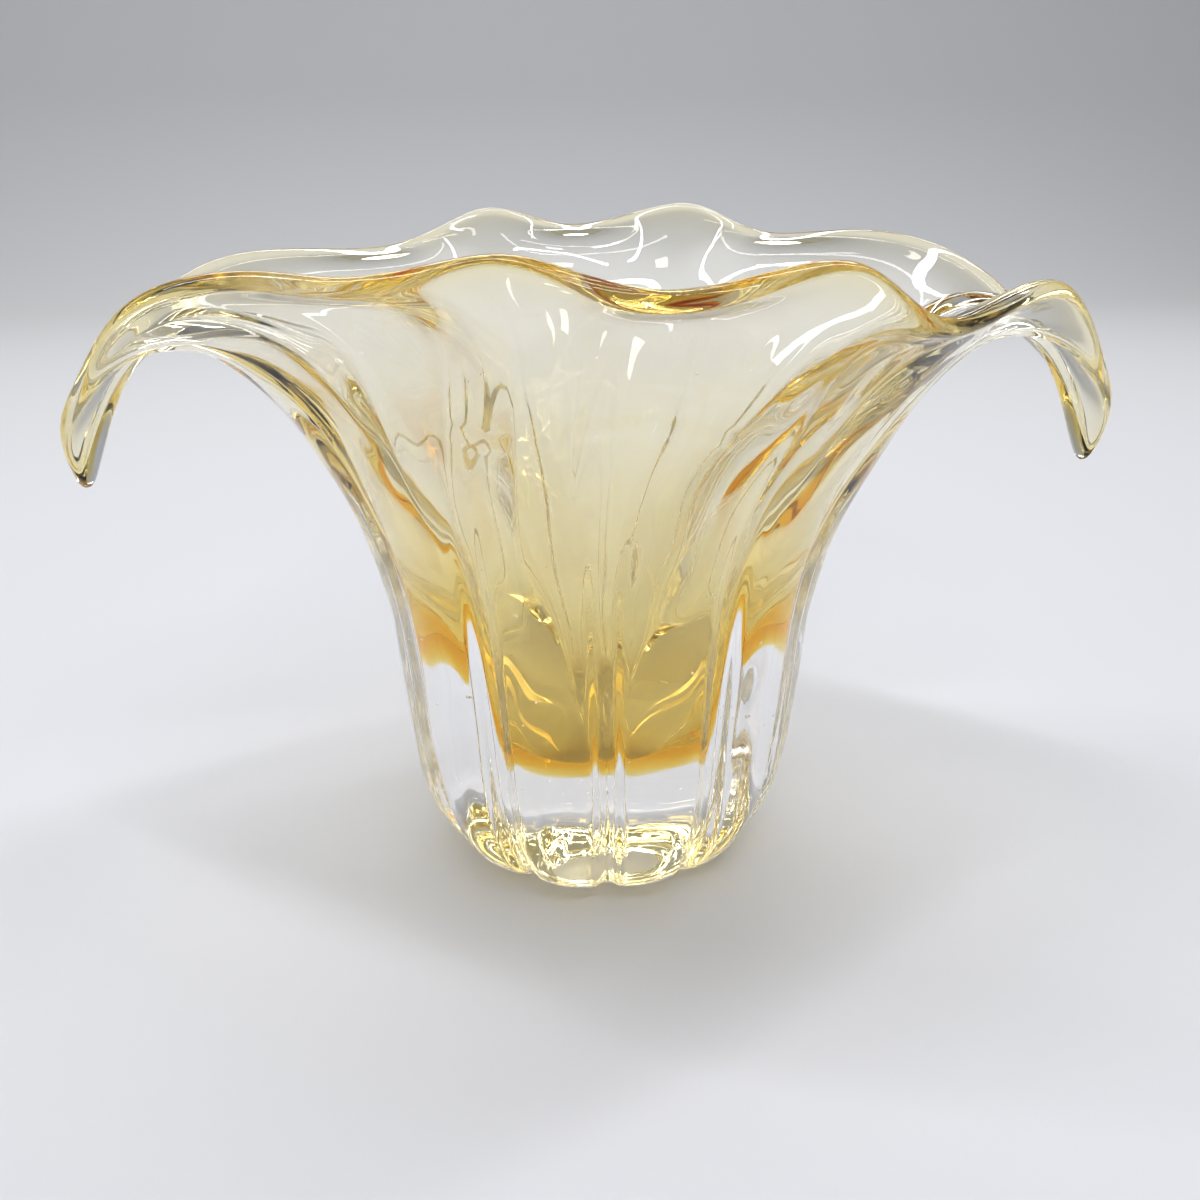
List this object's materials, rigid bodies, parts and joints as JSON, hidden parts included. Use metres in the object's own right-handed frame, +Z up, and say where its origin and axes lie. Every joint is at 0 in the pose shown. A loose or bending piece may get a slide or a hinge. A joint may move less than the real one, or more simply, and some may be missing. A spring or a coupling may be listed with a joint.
{
  "type": "art glass bowl",
  "caption": "Hand-blown art glass bowl: heavy clear casing fused over an amber lining, fluted body on a flat foot, and a wavy flared rim drawn out at opposite sides into drooping tips.",
  "frame": {"origin": "centre of the flat foot, in the plane it stands on", "axes": "+Z up out of the bowl's mouth, +X along the longer spread towards one drooping tip, -Y towards the side with the lowest dip in the rim"},
  "size_m": [0.2283, 0.1447, 0.1443],
  "materials": {
    "clear_glass": "fire-polished clear soda-lime or lead glass, glossy",
    "amber_glass": "fire-polished transparent amber glass, glossy"
  },
  "bodies": {
    "root": {"clear_casing": "clear_glass", "amber_lining": "amber_glass"}
  },
  "joints": []
}
